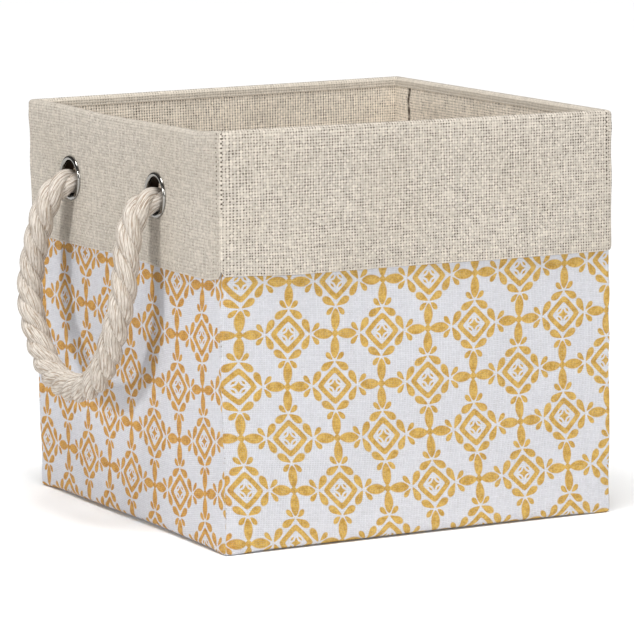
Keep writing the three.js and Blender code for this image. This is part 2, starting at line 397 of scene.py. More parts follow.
def printed_cotton():
    """White cotton with a golden yellow screen print, and needle holes down its corner seams.
    Shade is painted into the weave's gaps, and the ink on the left wall is painted browner as shade.
    """
    finish = Finish("printed_cotton", roughness=0.85, specular=0.25)
    height, tone, gap = plain_weave(finish, 1.1 * mm, 1.15 * mm, 0.6, 30.0)[:3]
    u, v = finish.u, finish.v
    ink = motif_masks(finish, *print_pitch)
    cloudy = finish.noise(u * 210.0, v * 210.0, 33.0, detail=4.0, roughness=0.65)
    speckle = finish.noise(u * 800.0, v * 800.0, 34.0, detail=2.0)
    patchy = cloudy * 0.6 + speckle * 0.4
    white = finish.blend(tone, (0.49, 0.495, 0.53), (0.66, 0.66, 0.695))
    ink_colour = finish.blend(patchy.rise(0.36, 0.62), (0.4, 0.225, 0.035), (0.6, 0.39, 0.1))
    # Painted shade: the ink on the left wall is made browner.
    brown = finish.blend(patchy.rise(0.36, 0.62), (0.38, 0.175, 0.03), (0.58, 0.32, 0.07))
    left_wall = u.rise(-14 * mm, -4 * mm, 1.0, 0.0)
    yellow = finish.blend(left_wall, ink_colour, brown)
    inked = finish.blend(ink * (1.0 - gap * 0.2), white, yellow)
    shaded = finish.blend(gap * 0.45, inked, (0.28, 0.25, 0.22))
    seam = finish.other_map("seam")
    along = ((seam[1] / (3.0 * mm)).fract() - 0.5).abs() * 3.0 * mm
    out = seam[0] - 1.3 * mm
    needle_hole = (out * out + along * along).sqrt().rise(0.3 * mm, 0.7 * mm, 1.0, 0.0)
    some = finish.noise(seam[1] * 60.0, seam[0] * 20.0, 35.0).rise(0.5, 0.62, 0.1, 0.7)
    sewn = finish.blend(needle_hole * some, shaded, (0.16, 0.1, 0.05))
    return finish.finish(sewn, height, 0.25 * mm)


def plain_cloth():
    finish = Finish("plain_cloth", roughness=0.92, specular=0.2)
    height, tone, gap = plain_weave(finish, 0.7 * mm, 0.75 * mm, 0.6, 40.0)[:3]
    cloth = finish.blend(tone, (0.5, 0.5, 0.53), (0.58, 0.58, 0.61))
    # The weave's gaps are painted darker, as shade.
    return finish.finish(finish.blend(gap * 0.4, cloth, (0.34, 0.33, 0.34)), height, 0.15 * mm)


def cardboard():
    """Grey-brown board with pressed fibres and specks."""
    finish = Finish("cardboard", roughness=0.88, specular=0.2)
    fibres = finish.noise(finish.u * 260.0, finish.v * 900.0, 50.0, detail=4.0)
    specks = finish.noise(finish.u * 1500.0, finish.v * 1500.0, 51.0)
    board = finish.blend(fibres.rise(0.3, 0.7), (0.25, 0.19, 0.125), (0.36, 0.28, 0.19))
    speckled = finish.blend(specks.rise(0.66, 0.74), board, (0.13, 0.1, 0.07))
    return finish.finish(speckled, fibres, 0.15 * mm)


def nickel():
    """Bright nickel plate with faint handling scuffs; down the barrel it is rougher, with shade
    painted on in a near black colour.
    """
    finish = Finish("nickel", roughness=0.2, specular=0.5, metallic=1.0)
    scuffs = finish.noise(finish.u * 500.0, finish.v * 500.0, 61.0, detail=4.0)
    plate = finish.blend(scuffs.rise(0.45, 0.8), (0.3, 0.29, 0.27), (0.24, 0.23, 0.215))
    # The barrel inside the hole is painted near black as shade, and made rougher.
    barrel = finish.v.rise(4.6 * mm, 5.8 * mm) * finish.v.rise(11 * mm, 12 * mm, 1.0, 0.0)
    barrel_shaded = finish.blend(barrel, plate, (0.05, 0.035, 0.025))
    rough = scuffs.rise(0.35, 0.8, 0.1, 0.22) + barrel * 0.4
    finish.tree.links.new(rough.socket, finish.shader.inputs["Roughness"])
    return finish.finish(barrel_shaded, scuffs, 0.004 * mm)


def cotton_rope():
    """Soft cotton yarns. u runs across the yarns and v along them, so fibres follow the yarns.
    The grooves between yarns have shade painted into them.
    """
    finish = Finish("cotton_rope", roughness=0.95, specular=0.15)
    u, v = finish.u, finish.v
    wander = (finish.noise(u * 250.0, v * 70.0, 75.0) - 0.5) * 1.2
    yarn_top = ((u / yarn_width + wander) * math.pi).cos().abs()
    fibres = finish.noise(u * 2000.0, v * 230.0, 70.0, detail=4.0, roughness=0.65)
    strays = finish.noise(u * 900.0 + v * 160.0, v * 110.0, 73.0, detail=3.0)
    fuzz = finish.noise(u * 800.0, v * 500.0, 71.0, detail=3.0)
    stains = finish.noise(u * 60.0, v * 35.0, 72.0)
    uneven = finish.noise(u * 300.0, v * 60.0, 74.0).rise(0.35, 0.65, 0.3, 0.85)
    yarn = finish.blend(fibres.rise(0.34, 0.62), (0.3, 0.255, 0.21), (0.64, 0.59, 0.53))
    soft = finish.blend(fuzz.rise(0.35, 0.7, 0.0, 0.45), yarn, (0.6, 0.55, 0.495))
    # Painted shade in the grooves between yarns.
    yarn_grooves_shaded = finish.blend(yarn_top.rise(0.0, 0.55, 1.0, 0.0) * uneven, soft, (0.24, 0.18, 0.13))
    lines = finish.blend(strays.rise(0.56, 0.64, 0.0, 0.7), yarn_grooves_shaded, (0.26, 0.19, 0.13))
    aged = finish.blend(stains.rise(0.45, 0.8, 0.0, 0.2), lines, (0.46, 0.39, 0.31))
    return finish.finish(aged, yarn_top * 0.5 + fibres * 0.5 + fuzz * 0.2, 0.6 * mm)


materials = {
    "linen": linen(
        "linen", seam_marks, (0.595, 0.54, 0.468), contrast=0.16, openness=1.2, yarn_line_shade=0.15,
        side_smoothing_and_shade=0.6, inside_painted_light=0.35, seed=0.0,
    ),
    # The lining is the same linen as the cuff; its much paler colour is painted light for the inside.
    "lining_linen": linen(
        "lining_linen", lining_seam, (0.9, 0.81, 0.69), contrast=0.12, openness=0.9, yarn_line_shade=0.6,
        side_smoothing_and_shade=0.0, inside_painted_light=0.0, seed=100.0,
    ),
    "printed_cotton": printed_cotton(),
    "plain_cloth": plain_cloth(),
    "cardboard": cardboard(),
    "nickel": nickel(),
    "cotton_rope": cotton_rope(),
}


# ---- Mesh building ----


# How far the near left corner bulges out, and how far the left rim dips.
bulge_at_floor = 0.5 * mm
bulge_most = 3.5 * mm
bulge_at_rim = 2.3 * mm
bulge_height = 122 * mm
rim_dip = 2.3 * mm
# How far the corners have moved along X: left front, right front, right back, left back.
rim_moved = (1.4 * mm, 0.0, 0.8 * mm, -2.1 * mm)
floor_moved = (-0.4 * mm, 0.0, 0.0, 1.2 * mm)
rim_twist = 0.85 * mm


def between_corners(corners, x, y):
    """A value at (x, y), each from -1 to 1, between those of the four corners."""
    left_front, right_front, right_back, left_back = corners
    front = left_front * (1 - x) + right_front * (1 + x)
    back = left_back * (1 - x) + right_back * (1 + x)
    return (front * (1 - y) + back * (1 + y)) / 4


def settle(points):
    """The slight skew that the soft box has taken: its rim is twisted, its left wall leans and
    bulges beside the near corner, and the left rim dips between its corners."""
    settled = np.array(points, float)
    x, y, share = settled[:, 0] / half, settled[:, 1] / half, settled[:, 2] / rim
    at_rim, at_floor = between_corners(rim_moved, x, y), between_corners(floor_moved, x, y)
    from_left, from_front, z = points[:, 0] + half, points[:, 1] + half, points[:, 2]
    swell = bulge_at_floor + (bulge_most - bulge_at_floor) * ease(20 * mm, bulge_height, z)
    swell = swell + (bulge_at_rim - bulge_most) * ease(bulge_height + 15 * mm, cuff_edge, z)
    bulge = swell * ease(110 * mm, 0, from_front) * ease(14 * mm, 0, from_left)
    along_rim = ease(0, 35 * mm, from_front) * ease(230 * mm, 150 * mm, from_front)
    dip = rim_dip * along_rim * ease(14 * mm, 6 * mm, from_left) * ease(rim - 28 * mm, rim, z)
    settled[:, 0] += at_floor + (at_rim - at_floor) * share - bulge
    settled[:, 2] += rim_twist * x * y * share - dip
    return settled


def make_piece(name, points, faces, uv, slot, body="bin", seam=None):
    """A mesh object with the cloth's own coordinates as its UV map, in its material."""
    if body == "bin":
        points = settle(points)
    mesh = bpy.data.meshes.new(name)
    mesh.from_pydata([tuple(p) for p in points], [], faces)
    corners = np.zeros(len(mesh.loops), np.int32)
    mesh.loops.foreach_get("vertex_index", corners)
    uv_map = mesh.uv_layers.new(name="cloth")
    uv_map.data.foreach_set("uv", np.asarray(uv, np.float32)[corners].ravel())
    if seam is not None:
        seam_map = mesh.uv_layers.new(name="seam")
        seam_map.data.foreach_set("uv", np.asarray(seam, np.float32)[corners].ravel())
    mesh.shade_smooth()
    mesh.set_sharp_from_angle(angle=math.radians(50))
    mesh.materials.append(materials[slot])
    piece = bpy.data.objects.new(name, mesh)
    bpy.context.scene.collection.objects.link(piece)
    if body:
        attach(piece, body)
    return piece


def strip_faces(first, second, closed):
    """Quads between two runs of vertex numbers."""
    count = len(first)
    pairs = [(i, (i + 1) % count) for i in range(count if closed else count - 1)]
    return [(first[i], first[j], second[j], second[i]) for i, j in pairs]


def closed_sheet(name, outer, inner, uv, slot, loop=False, capped=False, body="bin", seam=None):
    """A sheet with thickness from two grids of points, [column][row], the outer one seen from
    outside with columns to the right and rows up. A loop joins its last column to its first."""
    columns, rows = outer.shape[:2]
    front = np.arange(columns * rows).reshape(columns, rows)
    back = front + columns * rows
    faces = []
    for j in range(rows - 1):
        faces += strip_faces(list(front[:, j]), list(front[:, j + 1]), loop)
        faces += strip_faces(list(back[:, j + 1]), list(back[:, j]), loop)
    faces += strip_faces(list(back[:, 0]), list(front[:, 0]), loop)
    if capped:
        faces.append(tuple(front[:, -1]))
        faces.append(tuple(back[::-1, -1]))
    else:
        faces += strip_faces(list(front[:, -1]), list(back[:, -1]), loop)
    if not loop:
        faces += strip_faces(list(front[0, :])[::-1], list(back[0, :])[::-1], False)
        faces += strip_faces(list(front[-1, :]), list(back[-1, :]), False)
    points = np.concatenate([outer.reshape(-1, 3), inner.reshape(-1, 3)])
    both_uv = np.concatenate([uv.reshape(-1, 2)] * 2)
    both_seam = None if seam is None else np.concatenate([seam.reshape(-1, 2)] * 2)
    faces = [tuple(int(i) for i in face) for face in faces]
    return make_piece(name, points, faces, both_uv, slot, body, seam=both_seam)


def ease(low, high, value):
    t = np.clip((value - low) / (high - low), 0, 1)
    return t * t * (3 - 2 * t)


def turn_to(wall, points):
    """Points of the front wall, turned to a wall's own place."""
    angle = math.radians(walls[wall])
    turned = points.copy()
    turned[..., 0] = points[..., 0] * math.cos(angle) - points[..., 1] * math.sin(angle)
    turned[..., 1] = points[..., 0] * math.sin(angle) + points[..., 1] * math.cos(angle)
    return turned


def on_wall(wall, along, inset, z):
    """Places of points on a wall with rounded corners. along is measured on the outer face from
    the wall's middle and inset is how far in from it a point lies."""
    away = np.abs(along)
    past = np.maximum(away - flat_half, 0) / corner_radius
    bend = np.maximum(corner_radius, inset + 0.4 * mm)  # the corner's centre, in from the face
    centre = half - bend
    squeeze = (flat_half - centre) * ease(flat_half - 15 * mm, flat_half, away)
    x = np.sign(along) * (np.minimum(away, flat_half) - squeeze + (bend - inset) * np.sin(past))
    y = -centre - (bend - inset) * np.cos(past)
    return turn_to(wall, np.stack([x, y, z], axis=-1))


corner_end = flat_half + corner_radius * math.pi / 4  # along, at the seam with the next wall


def wall_columns():
    """Places along a wall for a grid's columns, closer together near its ends."""
    fine, coarse, fine_reach = 0.7 * mm, 4.0 * mm, 14 * mm
    start = corner_end - fine_reach
    middle = np.linspace(-start, start, 2 * round(start / coarse) + 1)
    side = np.linspace(start, corner_end, round(fine_reach / fine) + 1)[1:]
    return np.concatenate([-side[::-1], middle, side])


def waves(seed, count, shortest, longest):
    """A smooth, gentle random relief with a height of about 1, as a function of two places."""
    rng = np.random.default_rng(seed)
    size = np.exp(rng.uniform(math.log(shortest), math.log(longest), count))
    heading = rng.uniform(0, 2 * math.pi, count)
    phase = rng.uniform(0, 2 * math.pi, count)
    strength = size / size.sum() * 1.6

    def relief(a, b):
        total = np.zeros(np.broadcast(a, b).shape)
        for length, turn, start, part in zip(size, heading, phase, strength):
            total += part * np.sin(2 * math.pi * (a * math.cos(turn) + b * math.sin(turn)) / length + start)
        return total

    return relief


def eyelet_places(wall):
    """Along-wall places of a wall's eyelets, the same way as on_wall measures them."""
    middle = handle_middle if wall == "right" else -handle_middle
    return [middle - eyelet_reach, middle + eyelet_reach]


def near_eyelet(wall, along, z):
    """1 well away from the eyelets, 0 where one clamps the cloth flat."""
    away = np.ones(np.broadcast(along, z).shape)
    if wall in handle_walls:
        for place in eyelet_places(wall):
            away = away * ease(16 * mm, 38 * mm, np.hypot(along - place, z - eyelet_height))
    return away


wall_relief = {wall: waves(10 + i, 7, 45 * mm, 160 * mm) for i, wall in enumerate(walls)}


def push_out(wall, along, z):
    """How far the cloth of a wall stands out from its flat board at each place, in metres."""
    gentle = (wall_relief[wall](along, z) + 0.7) * 0.45 * mm
    pucker = 0.35 * mm * np.sin(z / (7.3 * mm) + 2 * np.sin(z / (19 * mm)))
    at_seam = ease(9 * mm, 0, corner_end - np.abs(along))
    settled = ease(0, 12 * mm, corner_end - np.abs(along))
    return np.maximum(gentle * settled + pucker * at_seam, -0.15 * mm) * near_eyelet(wall, along, z)


def hole_cutter(wall, place):
    """A round bar through a wall where an eyelet sits."""
    around = np.linspace(0, 2 * math.pi, 65)[:-1]
    along = place + hole_radius * np.cos(around)
    ring = np.stack([along, 0 * around, eyelet_height + hole_radius * np.sin(around)], axis=-1)
    ends = [turn_to(wall, ring + np.array([0, depth - half, 0])) for depth in (-20 * mm, 20 * mm)]
    near_end, far_end = list(range(len(around))), list(range(len(around), 2 * len(around)))
    faces = strip_faces(far_end, near_end, True) + [tuple(near_end), tuple(far_end[::-1])]
    mesh = bpy.data.meshes.new("cutter")
    mesh.from_pydata([tuple(p) for end in ends for p in end], [], faces)
    cutter = bpy.data.objects.new("cutter", mesh)
    bpy.context.scene.collection.objects.link(cutter)
    return cutter


def cut_holes(piece, wall):
    """Cuts the round eyelet holes through a piece of a handle wall."""
    if wall not in handle_walls:
        return
    for place in eyelet_places(wall):
        cutter = hole_cutter(wall, place)
        cut = piece.modifiers.new("hole", "BOOLEAN")
        cut.operation = "DIFFERENCE"
        cut.solver = "EXACT"
        cut.object = cutter
        evaluated = piece.evaluated_get(bpy.context.evaluated_depsgraph_get())
        holed = bpy.data.meshes.new_from_object(evaluated)
        piece.modifiers.clear()
        piece.data = holed
        bpy.data.objects.remove(cutter)


# ---- Rope and knots ----


def smooth_curve(points, step):
    """A centripetal Catmull-Rom curve through points, as points an even step apart."""
    p = np.asarray(points, float)
    p = np.concatenate([[2 * p[0] - p[1]], p, [2 * p[-1] - p[-2]]])
    run = []
    t = np.linspace(0, 1, 40, endpoint=False)[:, None]
    for a, b, c, d in zip(p, p[1:], p[2:], p[3:]):
        ab, bc, cd = (math.sqrt(np.linalg.norm(q - r)) for q, r in ((b, a), (c, b), (d, c)))
        leave = ((b - a) / ab - (c - a) / (ab + bc) + (c - b) / bc) * bc
        arrive = ((c - b) / bc - (d - b) / (bc + cd) + (d - c) / cd) * bc
        square = 3 * (c - b) - 2 * leave - arrive
        cube = 2 * (b - c) + leave + arrive
        run.append(b + leave * t + square * t**2 + cube * t**3)
    run = np.concatenate([*run, p[-2:-1]])
    along = np.concatenate([[0], np.cumsum(np.linalg.norm(np.diff(run, axis=0), axis=1))])
    at = np.linspace(0, along[-1], round(along[-1] / step) + 1)
    return np.stack([np.interp(at, along, run[:, k]) for k in range(3)], axis=-1)


def directions(curve):
    ahead = np.gradient(curve, axis=0)
    return ahead / np.linalg.norm(ahead, axis=1)[:, None]


def carried_frames(curve, first):
    """Sideways directions along a curve that never twist about it."""
    ahead = directions(curve)
    side = np.zeros_like(curve)
    carried = np.asarray(first, float)
    for i, direction in enumerate(ahead):
        carried = carried - direction * (carried @ direction)
        carried = carried / np.linalg.norm(carried)
        side[i] = carried
    return side, np.cross(ahead, side)


def laid_rope(curve, diameter, swell, around=65):
    """Points, faces and UVs of three strands laid left-handed about a curve. swell is the rope's
    girth at each of its points, as a share of its diameter."""
    step = np.linalg.norm(curve[1] - curve[0])
    distance = np.arange(len(curve)) * step
    side, up = carried_frames(curve, (0.3, 0.2, 1.0))
    strand = strand_radius * diameter / rope_diameter
    reach = diameter / 2 - strand
    lay = strand_lay * diameter / rope_diameter
    ends = np.minimum(distance, distance[-1] - distance)
    tip = np.sqrt(np.clip(1 - (1 - np.clip(ends / (1.6 * mm), 0, 1)) ** 2, 0.02, 1))
    psi = np.arange(around) * 2 * math.pi / around - math.pi
    across = psi[None, :] - yarn_twist * distance[:, None]
    points, faces, uv = [], [], []
    for k in range(3):
        phi = -2 * math.pi * distance / lay + 2 * math.pi * k / 3
        outward = side * np.cos(phi)[:, None] + up * np.sin(phi)[:, None]
        middle = curve + outward * (reach * swell)[:, None]
        ahead = directions(middle)
        outward = outward - ahead * (outward * ahead).sum(1)[:, None]
        outward = outward / np.linalg.norm(outward, axis=1)[:, None]
        sideways = np.cross(ahead, outward)
        yarn = np.abs(np.cos(across * yarns_round_strand / 2))
        girth = strand * (0.975 + 0.035 * yarn) * (swell * tip)[:, None]
        cosine, sine = np.cos(psi)[None, :, None], np.sin(psi)[None, :, None]
        ring = outward[:, None] * cosine + sideways[:, None] * sine
        rings = middle[:, None] + ring * girth[..., None]
        first_number = sum(len(part) for part in points)
        number = first_number + np.arange(rings.shape[0] * around).reshape(-1, around)
        for i in range(len(number) - 1):
            faces += strip_faces(list(number[i]), list(number[i + 1]), True)
        faces.append(tuple(number[0])[::-1])
        faces.append(tuple(number[-1]))
        points.append(rings.reshape(-1, 3))
        along = np.broadcast_to(distance[:, None] + k * 0.5, girth.shape)
        uv.append(np.stack([across * strand_radius, along], axis=-1).reshape(-1, 2))
    faces = [tuple(int(i) for i in face) for face in faces]
    return np.concatenate(points), faces, np.concatenate(uv)


# Half of a handle's route, as distance out from the wall, sideways from its middle, and height.
rope_half_route = [
    (-0.016, 0.0595, 0.2025),
    (-0.008, 0.0595, 0.2025),
    (0.0, 0.0595, 0.2025),
    (0.005, 0.0595, 0.202),
    (0.01, 0.0598, 0.1993),
    (0.0146, 0.0603, 0.1942),
    (0.018, 0.0613, 0.1873),
    (0.0205, 0.0625, 0.179),
    (0.0224, 0.0639, 0.1695),
    (0.0243, 0.0653, 0.1585),
    (0.0262, 0.0661, 0.147),
    (0.0282, 0.0646, 0.1355),
    (0.0295, 0.0599, 0.1235),
    (0.0297, 0.0534, 0.112),
    (0.03, 0.045, 0.1015),
    (0.0303, 0.0345, 0.0923),
    (0.0306, 0.022, 0.0866),
    (0.0307, 0.008, 0.084),
]
rope_neck = 13 * mm  # rope end to the wall's outer face, inside the knot
pivot_height = rope_half_route[0][2]


def rope_curve(wall, step):
    """The middle line of a handle's rope, from just inside one eyelet to just inside the other."""
    middle = sum(eyelet_places(wall)) / 2
    trimmed = [(max(out, -rope_neck), side, z) for out, side, z in rope_half_route]
    half_way = [(middle + side, -half - out, z) for out, side, z in trimmed]
    other = [(middle - side, -half - out, z) for out, side, z in trimmed]
    return turn_to(wall, smooth_curve(half_way + other[::-1], step))


def tight_knot(diameter):
    """The middle line of an overhand knot pulled tight against the inside of the wall, in its own
    frame: the rope comes in along +Y and its tail leaves downward. The wall is at y = 0."""
    step = 2.2 * mm
    t = np.linspace(-2.12, 2.12, 400)
    loose = [(t**3 - 3 * t) * 6, 34 + (t**4 - 4 * t**2) * 5.5, -(t**5 - 10 * t) * 1.6]
    start = np.stack(loose, axis=-1) * mm
    line = smooth_curve(start[::20], step)
    count = len(line)
    index = np.arange(count)
    apart = np.abs(index[:, None] - index[None, :])
    far = apart * step > 1.5 * diameter
    pulled_turns, resting_turns = 780, 120
    for turn in range(pulled_turns + resting_turns):
        pull = 0.25 * mm if turn < pulled_turns else 0.0
        line[0] += np.array([-line[0][0] * 0.3, -pull, (0 - line[0][2]) * 0.3])
        line[-1] += np.array([0, 0, -pull])
        line[1:-1] += 0.12 * ((line[:-2] + line[2:]) / 2 - line[1:-1])
        between = line[:, None] - line[None, :]
        distance = np.linalg.norm(between, axis=-1) + 1e-9
        overlap = np.where(far, np.maximum(diameter - distance, 0), 0)
        line += 0.3 * (between / distance[..., None] * overlap[..., None]).sum(1)
        off_axis = np.hypot(line[:, 0], line[:, 2])
        outside = (off_axis > 4 * mm) | (index > count // 3)
        line[:, 1] = np.where(outside, np.maximum(line[:, 1], diameter / 2), line[:, 1])
        for parity in (0, 1, 0, 1):
            a, b = line[parity:-1:2], line[parity + 1::2]
            a, b = a[: len(b)], b[: len(a)]
            gap = b - a
            size = np.linalg.norm(gap, axis=1)[:, None]
            fix = gap / size * (size - step) / 2
            line[parity:-1:2][: len(b)] += fix
            line[parity + 1::2][: len(a)] -= fix
    return line


def make_rope(wall):
    curve = rope_curve(wall, 1.5 * mm)
    share = np.linspace(-1, 1, len(curve))
    swell = 1.04 + 0.08 * np.exp(-((share / 0.25) ** 2)) - 0.12 * ease(0.86, 0.97, np.abs(share))
    points, faces, uv = laid_rope(curve, rope_diameter, swell)
    name = f"{wall}_rope"
    rope = make_piece(name, points, faces, uv, "cotton_rope", body=None)
    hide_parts(f"{wall}_rope_loop", f"{wall}_front_rope_bend", f"{wall}_back_rope_bend")
    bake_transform(rope)
    knots = [make_knot(wall, end) for end in ("front", "back")]


knot_line = tight_knot(13 * mm)
knot_rope_diameter = 13.8 * mm  # thinner than the handle's, to keep the knot small


def make_knot(wall, end):
    toward_back = 1 if end == "back" else -1
    along = toward_back * eyelet_reach + handle_middle
    if wall == "left":
        along = -along
    line = smooth_curve(knot_line, 1.8 * mm) * np.array([toward_back, 1, 1])
    line = line + np.array([along, -half + wall_back + 1.2 * mm, pivot_height + 3 * mm])
    curve = turn_to(wall, line[line[:, 1] > -half + wall_back + 2.5 * mm])
    points, faces, uv = laid_rope(curve, knot_rope_diameter, np.ones(len(curve)), around=40)
    knot = make_piece(f"{wall}_{end}_knot", points, faces, uv, "cotton_rope")
    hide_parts(f"{wall}_{end}_rope_knot")
    return knot


for handle_wall in handle_walls:
    make_rope(handle_wall)


# ---- Wall cloth ----

# The print lies a little out of square on two walls. Sizes are in mm, and places along a wall are
# counted from the near corner. Rows rise to "near" at that corner, are lowest at "lowest_at" and
# rise again to "far" at "far_at". Columns are pushed back from the corner by "near_push" beside
# it, "middle_push" in the middle and "far_push" beyond. Near the floor rows sink by "low_sink"
# and columns move back by "low_push"; "high_rise" and "high_push" are the same under the cuff.
print_skew = {
    "front": {
        "near": 7, "lowest": 0, "lowest_at": 150, "far": 2, "far_at": 267,
        "near_push": 0, "middle_push": 0, "far_push": 0,
        "low_sink": 2, "low_push": 5.5, "high_rise": 0, "high_push": 1.5,
    },
    "left": {
        "near": 5, "lowest": -2, "lowest_at": 95, "far": 2.5, "far_at": 215,
        "near_push": -1.5, "middle_push": 4.5, "far_push": 0.5,
        "low_sink": 3, "low_push": 2, "high_rise": 1.5, "high_push": 0,
    },
}
skew_height = 100 * mm  # the low part of the skew fades out by here and the high part starts
# Beside the near corner: how far along the lowest rows rise and how much, and how far along the
# highest rows drop.
near_corner_rise = {"front": (110 * mm, 2.5 * mm, 40 * mm), "left": (75 * mm, 3.0 * mm, 90 * mm)}
# Where the print's lattice starts along a wall, and how far apart its columns are.
print_start = {"front": 10.3 * mm, "left": 2 * half + 5.2 * mm, "right": 15 * mm, "back": 8 * mm}
print_columns = {"front": 31.65 * mm, "left": 32.2 * mm, "right": 31.65 * mm, "back": 31.65 * mm}


def print_shift(wall, away, z):
    """How far the print's columns are pushed back and its rows raised at a point of a wall."""
    skew = {name: value * mm for name, value in print_skew[wall].items()}
    near = np.maximum(1 - away / skew["lowest_at"], 0) ** 2
    far = ease(skew["lowest_at"], skew["far_at"], away)
    low = ease(skew_height, 0, z)
    high = ease(skew_height, 165 * mm, z)
    push = skew["near_push"] + (skew["middle_push"] - skew["near_push"]) * ease(25 * mm, 105 * mm, away)
    push = push + (skew["far_push"] - skew["middle_push"]) * ease(130 * mm, 240 * mm, away)
    push = push + skew["low_push"] * low + skew["high_push"] * high
    rise = skew["lowest"] + (skew["near"] - skew["lowest"]) * near + (skew["far"] - skew["lowest"]) * far
    rise = rise - skew["low_sink"] * low + skew["high_rise"] * high
    low_reach, low_rise, high_reach = near_corner_rise[wall]
    lowest_rows = low_rise * ease(110 * mm, 30 * mm, z) * ease(low_reach, 15 * mm, away)
    highest_rows = -1.8 * mm * ease(115 * mm, 150 * mm, z) * ease(high_reach, 0, away)
    return push, rise + lowest_rows + highest_rows


def print_uv(wall, along, z):
    """Where a point of a wall lies on the printed cloth."""
    u, v = along + half, z
    if wall in print_skew:
        away = u if wall == "front" else 2 * half - u
        back = 1 if wall == "front" else -1
        push, rise = print_shift(wall, away, z)
        u, v = u - back * push, v - rise
    return np.stack([(u - print_start[wall]) / print_columns[wall] * print_pitch[0], v], axis=-1)


def make_panel(wall):
    """The printed cloth of a wall, from its rolled-under lower edge to just below the rim."""
    face, back = panel_layer
    lift = 0.2 * mm
    columns = wall_columns()[:, None]
    roll = (1.6 + 2.6 * ease(0, 30 * mm, corner_end - np.abs(columns))) * mm
    tight = roll - (back - face)
    under = np.linspace(0, math.pi / 2, 7)[None, :]
    upper_z = lift + roll + (rim - 3 * mm - lift - roll) * np.linspace(0, 1, 61)[None, 1:]
    plain = np.ones(upper_z.shape)
    outer_inset = np.concatenate([face + roll * (1 - np.sin(under)), face * plain], axis=1)
    inner_inset = np.concatenate([face + roll - tight * np.sin(under), back * plain], axis=1)
    z = np.concatenate([lift + roll * (1 - np.cos(under)), upper_z], axis=1)
    inner_z = np.concatenate([lift + roll - tight * np.cos(under), upper_z], axis=1)
    along = columns + 0 * z
    low_lift = bottom_lift(wall, along) * ease(45 * mm, 0, z)
    push = push_out(wall, along, z)
    outer = on_wall(wall, along, outer_inset - push, z + low_lift)
    inner = on_wall(wall, along, inner_inset - push, inner_z + low_lift)
    seam = np.stack([corner_end - np.abs(along), z], axis=-1)
    name = f"{wall}_print_cloth"
    piece = closed_sheet(name, outer, inner, print_uv(wall, along, z), "printed_cotton", seam=seam)
    cut_holes(piece, wall)
    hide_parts(f"{wall}_print_panel")


def bottom_lift(wall, along):
    """How far a wall's lower edge stands off the floor between its corners."""
    most = {"front": 0.5, "left": 1.1, "right": 0.9, "back": 0.7}[wall] * mm
    wavy = 0.85 + 0.25 * np.sin(along / (31 * mm) + 1.0)
    return most * wavy * ease(0, 45 * mm, corner_end - np.abs(along))


def edge_rise(wall, along):
    """How far a cuff's lower edge rises above its level line near the near left corner."""
    from_left = along + half
    if wall == "front":
        return 1.5 * mm * ease(48 * mm, 4 * mm, from_left)
    if wall == "left":
        away = 2 * half - from_left
        return -1.5 * mm * ease(3 * mm, 14 * mm, away) * ease(130 * mm, 80 * mm, away)
    return 0 * along


def cuff_section():
    """The cuff's section, row by row from its hem up its face and over the round rim to the lip
    inside: how far in and how high its outer side lies, then its inner side."""
    t = cuff_thickness
    rim_radius = cuff_inside / 2
    inner_radius = rim_radius - t
    rim_centre = rim - rim_radius
    rim_turn = np.linspace(0, math.pi, 15)
    hem_turn = np.linspace(-math.pi / 2, 0, 4)
    face_z = np.linspace(cuff_edge + t / 2, rim_centre, 30)[1:-1]
    lip_z = np.linspace(rim_centre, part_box("front_lining")[1].z - 0.8 * mm, 5)[1:]
    face, lip = np.ones(len(face_z)), np.ones(len(lip_z))
    outer_hem = t / 2 - t / 2 * np.cos(hem_turn)
    outer_hem_z = cuff_edge + t / 2 + t / 2 * np.sin(hem_turn)
    inner_hem = np.linspace(t * 0.75, t, 4)
    inner_hem_z = np.linspace(cuff_edge + 0.1 * mm, cuff_edge + t / 2, 4)
    outer_rim = rim_radius * (1 - np.cos(rim_turn))
    outer_rim_z = rim_centre + rim_radius * np.sin(rim_turn)
    inner_rim = rim_radius - inner_radius * np.cos(rim_turn)
    inner_rim_z = rim_centre + inner_radius * np.sin(rim_turn)
    outer_inset = np.concatenate([outer_hem, 0 * face, outer_rim, cuff_inside * lip])
    outer_z = np.concatenate([outer_hem_z, face_z, outer_rim_z, lip_z])
    inner_inset = np.concatenate([inner_hem, t * face, inner_rim, (cuff_inside - 0.2 * mm) * lip])
    inner_z = np.concatenate([inner_hem_z, face_z, inner_rim_z, lip_z])
    return outer_inset, outer_z, inner_inset, inner_z


def make_cuff(wall):
    """The linen band folded over the rim, a little loose along its lower edge."""
    outer_inset, outer_z, inner_inset, inner_z = cuff_section()
    path = np.concatenate([[0], np.cumsum(np.hypot(np.diff(outer_inset), np.diff(outer_z)))])
    along, row = np.meshgrid(wall_columns(), np.arange(len(outer_z)), indexing="ij")
    z = outer_z[row]
    outward = np.where(outer_inset[row] < cuff_inside / 2, 1.0, 0.0) * ease(rim, rim - 12 * mm, z)
    push = push_out(wall, along, z) * outward
    above_edge = z - cuff_edge
    wavy = 1.2 + np.sin(along / (23 * mm) + len(wall))
    slack = 0.6 * mm * wavy * ease(30 * mm, 0, above_edge) * outward
    at_corner = np.exp(-(((corner_end - np.abs(along)) / (1.4 * mm)) ** 2))
    notch = 3.2 * mm * at_corner * ease(9 * mm, 0, above_edge)
    notch = notch + edge_rise(wall, along) * ease(30 * mm, 0, above_edge)
    outer = on_wall(wall, along, outer_inset[row] - push - slack, z + notch)
    inner = on_wall(wall, along, inner_inset[row] - push - slack, inner_z[row] + notch)
    uv = np.stack([along + half + list(walls).index(wall) * wall_step, path[row]], axis=-1)
    piece = closed_sheet(f"{wall}_linen_cuff", outer, inner, uv, "linen")
    cut_holes(piece, wall)
    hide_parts(f"{wall}_cuff")


